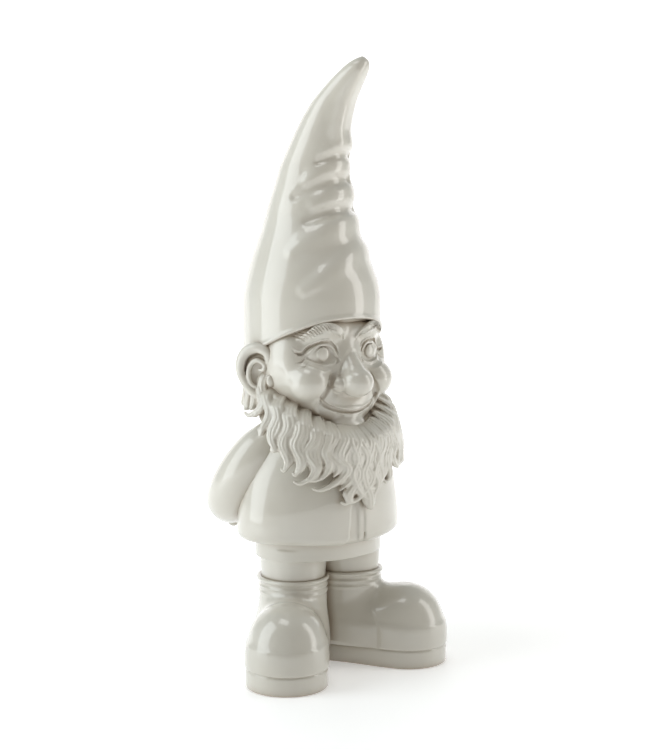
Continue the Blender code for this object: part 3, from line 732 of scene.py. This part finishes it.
def build_beard():
    """Two layers of locks over a body that follows the jaw, and three locks that end in the middle."""
    clay = Clay((-152, -136, 240), (152, 60, 456), 1.4)
    rng = np.random.default_rng(11)
    turns = (0, 20, 37, 54, 70, 84, 98)
    tops = (370, 374, 385, 401, 417, 432, 446)

    def base(x, y, z):
        height = z.ravel()
        centre, wide, deep = beard_at(height)
        wide, deep = wide - 6, deep - 6
        dx, dy = x / wide, (y - centre) / deep
        rho = np.sqrt(dx * dx + dy * dy)
        shell = (rho - 1) * 0.5 * (wide + deep)
        angle = np.degrees(np.arctan2(np.abs(x) + 0 * y, -y + 0 * x))
        low = np.interp(angle, (0, 8, 16, 35, 55, 75, 96, 110), (272, 284, 302, 318, 332, 360, 396, 420))
        high = np.interp(angle, turns, tops) - 10 + np.clip(-shell, 0, 40) * 0.38
        ends = np.maximum(z - high, (angle - 98) * 1.8)
        return np.maximum(np.maximum(shell, low - z), ends).astype(np.float32)

    clay.field = base(*clay.points())
    tip_turns, tip_heights = (0, 10, 25, 40, 55, 70, 85, 96), (260, 270, 289, 301, 312, 334, 362, 386)

    def lock_route(start, tip, swing, curl, drift):
        top = float(np.interp(abs(start), turns, tops))
        route = []
        for t in np.linspace(0, 1, 11):
            z = top + (tip - top) * t
            wave = swing * min(2.2 * t, 1) * math.sin(z / 9.0 + start * 0.05 + drift)
            route.append((start * (1 - 0.12 * t) + wave + curl * max(t - 0.72, 0) / 0.28, z))
        return route

    for layer, count in ((1, 17), (0, 18)):
        for start in np.linspace(-92, 92, count):
            tip = float(np.interp(abs(start), tip_turns, tip_heights)) + rng.uniform(-7, 11) + 9 * layer
            curl = rng.uniform(1, 8) * (-1 if start < 30 else 1)
            route = lock_route(start, tip, rng.uniform(1.8, 3.6), curl, rng.uniform(-0.7, 0.7))
            width = rng.uniform(20, 28) - 2 * layer
            clay.add(hair_lock(beard_at, route, width, 8.8 - 2.0 * layer, rng.uniform(0, 3)), 0.6)
            if layer == 0:
                (a, z), (b, _) = route[-1], route[-3]
                hook = [
                    (*on_body(beard_at, b, z + 11, -1), 4.6),
                    (*on_body(beard_at, a, z + 3, 1), 4.0),
                    (*on_body(beard_at, a + 0.8 * curl, z - 1, 3), 3.2),
                    (*on_body(beard_at, a + 1.5 * curl, z + 1.5, 4), 2.2),
                ]
                clay.add(strand(hook, 15), 2.0)
    middle = [
        ([(-9, 368), (-9, 346), (-5, 324), (-8, 304), (-5, 286), (-1, 272), (4, 262)], 22, 0.4),
        ([(11, 368), (10, 346), (13, 324), (9, 304), (12, 288), (11, 276), (8, 266)], 22, 1.2),
        ([(0, 370), (-2, 348), (3, 326), (0, 304), (2, 286), (6, 268), (8, 246)], 31, 2.0),
    ]
    for route, width, phase in middle:
        clay.add(hair_lock(beard_at, route, width, 9.5, phase), 0.6)
    return finished("beard", clay, ["beard"], 1)


nape_at = table_curve([(360, 10, 106, 103), (390, 10, 104, 101), (415, 12, 102, 100), (445, 14, 98, 97)], 8)


def build_back_hair():
    """Locks from ear to ear round the back of the head, under the brim."""
    clay = Clay((-124, -40, 372), (124, 130, 456), 1.5)

    def base(x, y, z):
        rho = np.sqrt((x / 99) ** 2 + ((y - 12) / 97) ** 2)
        shell = (rho - 1) * 98
        return np.maximum(np.maximum(shell, 400 - z), np.maximum(z - 446, 8 - y) + 0 * x).astype(np.float32)

    clay.field = base(*clay.points())
    rng = np.random.default_rng(5)
    for start in np.linspace(84, 276, 17):
        tip = 388 + rng.uniform(-4, 6)
        route = []
        for t in np.linspace(0, 1, 9):
            z = 450 + (tip - 450) * t
            route.append((start + 2.6 * math.sin(z / 8.0 + start * 0.05) * min(2 * t, 1) + 3 * t**3, z))
        clay.add(hair_lock(nape_at, route, rng.uniform(22, 26), 8.0, rng.uniform(0, 3), 6.0), 0.8)
    return finished("back_hair", clay, ["back_hair"], 1)


# Coat, sleeves and hands

# The coat: height, centre y, half width, half depth.
coat_at = table_curve(
    [
        (190, -2, 132, 94), (205, -2, 133, 95), (225, -2, 133, 96), (250, -1, 131, 97), (280, 0, 126, 96),
        (305, 1, 119, 93), (330, 4, 108, 89), (348, 8, 95, 82), (362, 10, 78, 72), (380, 13, 60, 60),
    ],
    6,
)
HEM_Z = 199.0


def coat_body(x, y, z):
    height = z.ravel()
    centre, wide, deep = coat_at(height)
    rate = np.gradient(wide, height)
    dx, dy = x / wide, (y - centre) / deep
    rho = np.sqrt(dx * dx + dy * dy) + 1e-6
    shell = (rho - 1) * rho / np.sqrt((dx / wide) ** 2 + (dy / deep) ** 2 + 1e-9)
    return (shell / np.sqrt(1 + rate * rate)).astype(np.float32)


def build_coat():
    """The coat with its sunken opening in front, a lap inside that, and a rounded hem."""
    clay = Clay((-142, -108, 186), (142, 108, 384), 1.7)
    clay.field = coat_body(*clay.points())

    def opening(x, y, z):
        half = np.interp(z.ravel(), (190, 290), (15.5, 9))
        outer = -(coat_body(x, y, z) + 4.5)
        return np.maximum(np.maximum(np.abs(x - 2) - half, outer), y + 60).astype(np.float32)

    def lap(x, y, z):
        edge = np.abs(x - np.interp(z.ravel(), (190, 290), (10.5, 7))) - 5.5
        plate = np.abs(coat_body(x, y, z) + 4.2) - 2.2
        return np.maximum(np.maximum(edge, plate), y + 60).astype(np.float32)

    def hem(x, y, z):
        droop = 5.0 * np.exp(-((x / 70) ** 2)) * (y < 0)
        return HEM_Z - droop - z

    front = ((-40, -108, 186), (40, -60, 300))
    clay.cut((*front, opening), 1.2)
    clay.add((*front, lap), 0.8)
    clay.keep(hem, 13)
    return finished("coat", clay, ["coat_front", "coat_back", "shirt_front"])


def build_sleeve(side, name):
    """An arm that swings out and round to the back, with creases at the elbow and a cuff."""
    low, high = ((-165, -45, 190), (-40, 150, 385)) if side < 0 else ((40, -45, 190), (165, 150, 385))
    clay = Clay(low, high, 1.7)
    arm = [(80, 8, 346, 28), (98, 14, 326, 35), (110, 28, 300, 38), (115, 48, 272, 38), (110, 72, 252, 36),
           (94, 92, 240, 32), (76, 106, 234, 27)]
    clay.add(strand([(side * x, y, z, r) for x, y, z, r in arm], 49), 0)
    creases = [
        [(132, 68, 288, 0.4), (122, 82, 276, 2.0), (104, 92, 268, 0.5)],
        [(138, 52, 268, 0.4), (132, 76, 256, 1.8), (112, 102, 250, 0.5)],
        [(90, 46, 312, 0.4), (104, 60, 302, 2.0), (126, 62, 300, 0.5)],
    ]
    for route in creases:
        clay.cut(strand([(side * x, y, z, r) for x, y, z, r in route], 11), 6)
    cuff = [(73, 108, 233, 25.5), (68, 111, 232, 25.5)]
    clay.add(strand([(side * x, y, z, r) for x, y, z, r in cuff], 4), 1)
    return finished(name, clay, [name])


def build_hand(side, name):
    """A hand behind the back: palm, four fingers, the heel of the hand and the thumb."""
    low, high = ((-104, 84, 188), (8, 146, 262)) if side < 0 else ((-8, 84, 188), (104, 146, 262))
    clay = Clay(low, high, 1.3)
    shift = 0 if side < 0 else 6
    palm = [(70, 108, 232, 17), (52, 112, 230, 17), (34, 115, 228, 15)]
    clay.add(strand([(side * x, y, z, r) for x, y, z, r in palm], 9), 0)
    for i in range(4):
        z = 240 - i * 9.5
        finger = [(38, 120, z + 1, 6.6), (20, 126 + shift * 0.3, z, 6.6), (4 + shift, 124, z - 2, 6.2)]
        clay.add(strand([(side * x, y, zz, r) for x, y, zz, r in finger], 9), 1.5)
    clay.add(strand([(side * 62, 110, 222, 10), (side * 86, 102, 209, 9)], 5), 5)
    thumb = [(50, 116, 244, 8), (36, 120, 250, 7.4), (24, 122, 251, 6.6)]
    clay.add(strand([(side * x, y, z, r) for x, y, z, r in thumb], 9), 2)
    return finished(name, clay, [name])


# Trousers, boots and soles

SPLAY = 38.5
LEG_TURN, SHAFT_X = 28, 47.5
TOE_AHEAD, TOE_RADIUS, HEEL_RADIUS = 99, 59.5, 50


def build_trousers():
    """The hips, and two short legs that stand in the boots."""
    clay = Clay((-112, -86, 132), (112, 86, 226), 1.5)

    def hips(x, y, z):
        rho = np.sqrt((x / 102) ** 2 + ((y + 1) / 77) ** 2)
        return np.maximum((rho - 1) * 86, np.abs(z - 197) - 27).astype(np.float32)

    clay.field = hips(*clay.points())
    for side in (-1, 1):
        m = turned(0, 0, side * LEG_TURN)

        def leg(x, y, z, side=side, m=m):
            px, py = x - side * 47, y + 2
            u, v = px * m[0, 0] + py * m[1, 0], px * m[0, 1] + py * m[1, 1]
            taper = 1 + (z - 150) * 0.0012
            rho = np.sqrt((u / (48.5 * taper)) ** 2 + (v / (55 * taper)) ** 2)
            return np.maximum((rho - 1) * 50, np.maximum(136 - z, z - 186)).astype(np.float32)

        clay.add(((-112, -86, 130), (112, 86, 190), leg), 2.5)
    return finished("trousers", clay, ["trousers"])


def boot_point(side, ahead, out, z):
    """A point of a boot, from ahead of the ankle, to its outer side, and its height."""
    a = math.radians(SPLAY)
    x = ANKLE_X + ahead * math.sin(a) + out * math.cos(a)
    return side * x, -(ahead * math.cos(a)) + out * math.sin(a), z


def boot_reach(side, aheads, outs):
    """The lowest and highest x and y of a boot that spans these distances."""
    corners = [boot_point(side, a, o, 0) for a in aheads for o in outs]
    xs, ys = [c[0] for c in corners], [c[1] for c in corners]
    return min(xs), max(xs), min(ys), max(ys)


def sole_outline(side):
    """Distance from the outline of a sole, seen from above."""
    toe, heel = boot_point(side, TOE_AHEAD, 0, 0), boot_point(side, 0, 4, 0)
    cross = (heel[0] - toe[0], heel[1] - toe[1])
    span = cross[0] ** 2 + cross[1] ** 2

    def outline(x, y, grow):
        dx, dy = x - toe[0], y - toe[1]
        t = np.clip((dx * cross[0] + dy * cross[1]) / span, 0, 1)
        radius = TOE_RADIUS + (HEEL_RADIUS - TOE_RADIUS) * t * t * (3 - 2 * t)
        return np.sqrt((dx - t * cross[0]) ** 2 + (dy - t * cross[1]) ** 2) - radius - grow

    return outline


def build_boot(side, name):
    """A domed toe, a round shaft with a rolled top and two rings, and a wall that follows the sole."""
    left, right, front, back = boot_reach(side, (-66, 168), (-72, 72))
    past_middle = 1.0
    low = (left if side < 0 else -past_middle, front, 26)
    high = (past_middle if side < 0 else right, back, 150)
    clay = Clay(low, high, 1.4)
    turn = turned(0, 0, side * SPLAY)
    clay.add(lump(boot_point(side, 98, 0, 44), (59, 60, 70), turn), 0)
    clay.add(lump(boot_point(side, 92, 0, 76), (50, 52, 40), turn), 12)
    clay.add(lump(boot_point(side, 44, 0, 46), (56, 78, 62), turn), 22)
    clay.add(lump(boot_point(side, -1, 0, 46), (50, 53, 60), turn), 20)
    m = turned(0, 0, side * LEG_TURN)

    def shaft(x, y, z):
        px, py = x - side * SHAFT_X, y + 2
        u, v = px * m[0, 0] + py * m[1, 0], px * m[0, 1] + py * m[1, 1]
        rho = np.sqrt((u / 50.5) ** 2 + (v / 57) ** 2)
        return np.maximum((rho - 1) * 52, np.maximum(40 - z, z - 139)).astype(np.float32)

    clay.add(((-110, -80, 40), (110, 80, 142), shaft), 20)
    outline = sole_outline(side)

    def wall(x, y, z):
        inset = -4.5 - 0.10 * np.maximum(z - 30, 0)
        return np.maximum(outline(x, y, inset), np.abs(z - 36) - 20).astype(np.float32)

    clay.add((low, high, wall), 16)
    for z, radius, out in ((137.5, 3.4, 0.8), (127, 1.8, 0.6), (118, 1.6, 0.4)):
        ring = []
        for a in np.linspace(0, 2 * math.pi, 37):
            u, v = (50 + out) * math.cos(a), (56.5 + out) * math.sin(a)
            x, y = u * m[0, 0] + v * m[0, 1], u * m[1, 0] + v * m[1, 1]
            ring.append((side * SHAFT_X + x, -2 + y, z, radius))
        clay.add(strand(ring, 109), 1.5)
    clay.keep(lambda x, y, z: 28.6 - z + 0 * x + 0 * y, 1.0)
    return finished(name, clay, [name])


def build_sole(side, name):
    """A thick flat sole with a step at its top; the two soles end at the middle plane."""
    left, right, front, back = boot_reach(side, (-70, 170), (-76, 76))
    low, high = (left, front, -4), (right, back, 40)
    clay = Clay(low, high, 1.3)
    outline = sole_outline(side)

    def sole(x, y, z):
        corner = 3.0
        a, b = outline(x, y, 0.0) + corner, np.abs(z - 14) - 14 + corner
        outside = np.sqrt(np.maximum(a, 0) ** 2 + np.maximum(b, 0) ** 2)
        return (outside + np.minimum(np.maximum(a, b), 0) - corner).astype(np.float32)

    clay.field = sole(*clay.points())

    def step(x, y, z):
        return np.maximum(outline(x, y, -1.0), np.abs(z - 30) - 2.2).astype(np.float32)

    clay.add((low, high, step), 0.5)
    clay.keep(lambda x, y, z: side * -x + 0.6 + 0 * y + 0 * z, 0.5)
    return finished(name, clay, [name])


build_hat()
build_head()
build_ear(-1, "ear_right")
build_ear(1, "ear_left")
build_beard()
build_back_hair()
build_coat()
for which, side_name in ((-1, "right"), (1, "left")):
    build_sleeve(which, "sleeve_" + side_name)
    build_hand(which, "hand_" + side_name)
    build_boot(which, "boot_" + side_name)
    build_sole(which, "sole_" + side_name)
build_trousers()


# Studio

VIEW_AZIMUTH = math.radians(-36)
FORWARD = Vector((-math.sin(VIEW_AZIMUTH), math.cos(VIEW_AZIMUTH), 0))
RIGHT = Vector((math.cos(VIEW_AZIMUTH), math.sin(VIEW_AZIMUTH), 0))
UP = Vector((0, 0, 1))
CAMERA_DISTANCE, CAMERA_HEIGHT, LENS = 2.25, 0.675, 72.6
CAMERA_AIM = RIGHT * 0.0105 + UP * 0.436
LIGHT_AIM = UP * 0.45


def build_stage():
    """A white sweep: the floor curves up into a backdrop, and glows more the farther it is from the gnome."""
    mesh = bpy.data.meshes.new("sweep")
    profile = [(-4.0, 0.0), (3.0, 0.0)]
    profile += [(3.0 + 1.5 * math.sin(a), 1.5 - 1.5 * math.cos(a)) for a in np.linspace(0.1, math.pi / 2, 12)]
    profile += [(4.5, 4.0)]
    verts = [tuple(FORWARD * d + RIGHT * s + Vector((0, 0, z))) for d, z in profile for s in (-5.0, 5.0)]
    faces = [(2 * i, 2 * i + 1, 2 * i + 3, 2 * i + 2) for i in range(len(profile) - 1)]
    mesh.from_pydata(verts, [], faces)
    mesh.shade_smooth()
    sweep = bpy.data.objects.new("sweep", mesh)
    bpy.context.scene.collection.objects.link(sweep)
    material, nodes, links = new_material("white_sweep")
    shader = nodes["Principled BSDF"]
    shader.inputs["Base Color"].default_value = (0.95, 0.95, 0.95, 1)
    shader.inputs["Roughness"].default_value = 0.5
    shader.inputs["Emission Color"].default_value = (1, 1, 1, 1)
    place = nodes.new("ShaderNodeTexCoord")
    away = nodes.new("ShaderNodeVectorMath")
    away.operation = "LENGTH"
    fade = nodes.new("ShaderNodeMapRange")
    fade.interpolation_type = "SMOOTHSTEP"
    fade.inputs["From Min"].default_value = 0.25
    fade.inputs["From Max"].default_value = 1.6
    fade.inputs["To Min"].default_value = 0.30
    fade.inputs["To Max"].default_value = 0.80
    links.new(place.outputs["Object"], away.inputs[0])
    links.new(away.outputs["Value"], fade.inputs["Value"])
    links.new(fade.outputs["Result"], shader.inputs["Emission Strength"])
    mesh.materials.append(material)


def area_light(name, place, size, power, colour=(1, 1, 1)):
    data = bpy.data.lights.new(name, "AREA")
    data.shape = "RECTANGLE"
    data.size, data.size_y = size
    data.energy = power
    data.color = colour
    light = bpy.data.objects.new(name, data)
    bpy.context.scene.collection.objects.link(light)
    light.location = place
    light.rotation_euler = (LIGHT_AIM - place).to_track_quat("-Z", "Y").to_euler()


def build_lights():
    """Three softboxes, and a room that is dark behind the camera and pale beyond the gnome."""
    cool, warm = (0.91, 0.97, 1.0), (1, 0.98, 0.95)
    area_light("left_panel", -RIGHT * 1.55 - FORWARD * 0.5 + UP, (1.2, 2.0), 20, cool)
    area_light("right_softbox", RIGHT * 1.45 - FORWARD * 0.15 + UP * 0.85, (0.5, 1.6), 7, warm)
    area_light("top_softbox", UP * 2.1 - FORWARD * 0.5 - RIGHT * 0.3, (0.9, 0.6), 5)
    world = bpy.data.worlds.new("studio")
    bpy.context.scene.world = world
    world.use_nodes = True
    nodes, links = world.node_tree.nodes, world.node_tree.links
    place = nodes.new("ShaderNodeTexCoord")
    facing = nodes.new("ShaderNodeVectorMath")
    facing.operation = "DOT_PRODUCT"
    facing.inputs[1].default_value = FORWARD
    room = nodes.new("ShaderNodeValToRGB")
    room.color_ramp.elements[0].position = 0.20
    room.color_ramp.elements[0].color = (0.11, 0.093, 0.072, 1)
    room.color_ramp.elements[1].position = 0.62
    room.color_ramp.elements[1].color = (0.46, 0.50, 0.50, 1)
    half = nodes.new("ShaderNodeMapRange")
    half.inputs["From Min"].default_value = -1
    links.new(place.outputs["Generated"], facing.inputs[0])
    links.new(facing.outputs["Value"], half.inputs["Value"])
    links.new(half.outputs["Result"], room.inputs["Fac"])
    links.new(room.outputs["Color"], nodes["Background"].inputs["Color"])
    bpy.context.scene.view_settings.view_transform = "Standard"


def build_camera():
    data = bpy.data.cameras.new("camera")
    data.lens = LENS
    camera = bpy.data.objects.new("camera", data)
    bpy.context.scene.collection.objects.link(camera)
    place = -FORWARD * CAMERA_DISTANCE + UP * CAMERA_HEIGHT
    camera.location = place
    camera.rotation_euler = (CAMERA_AIM - place).to_track_quat("-Z", "Y").to_euler()
    bpy.context.scene.camera = camera


build_stage()
build_lights()
build_camera()

bpy.context.view_layer.update()
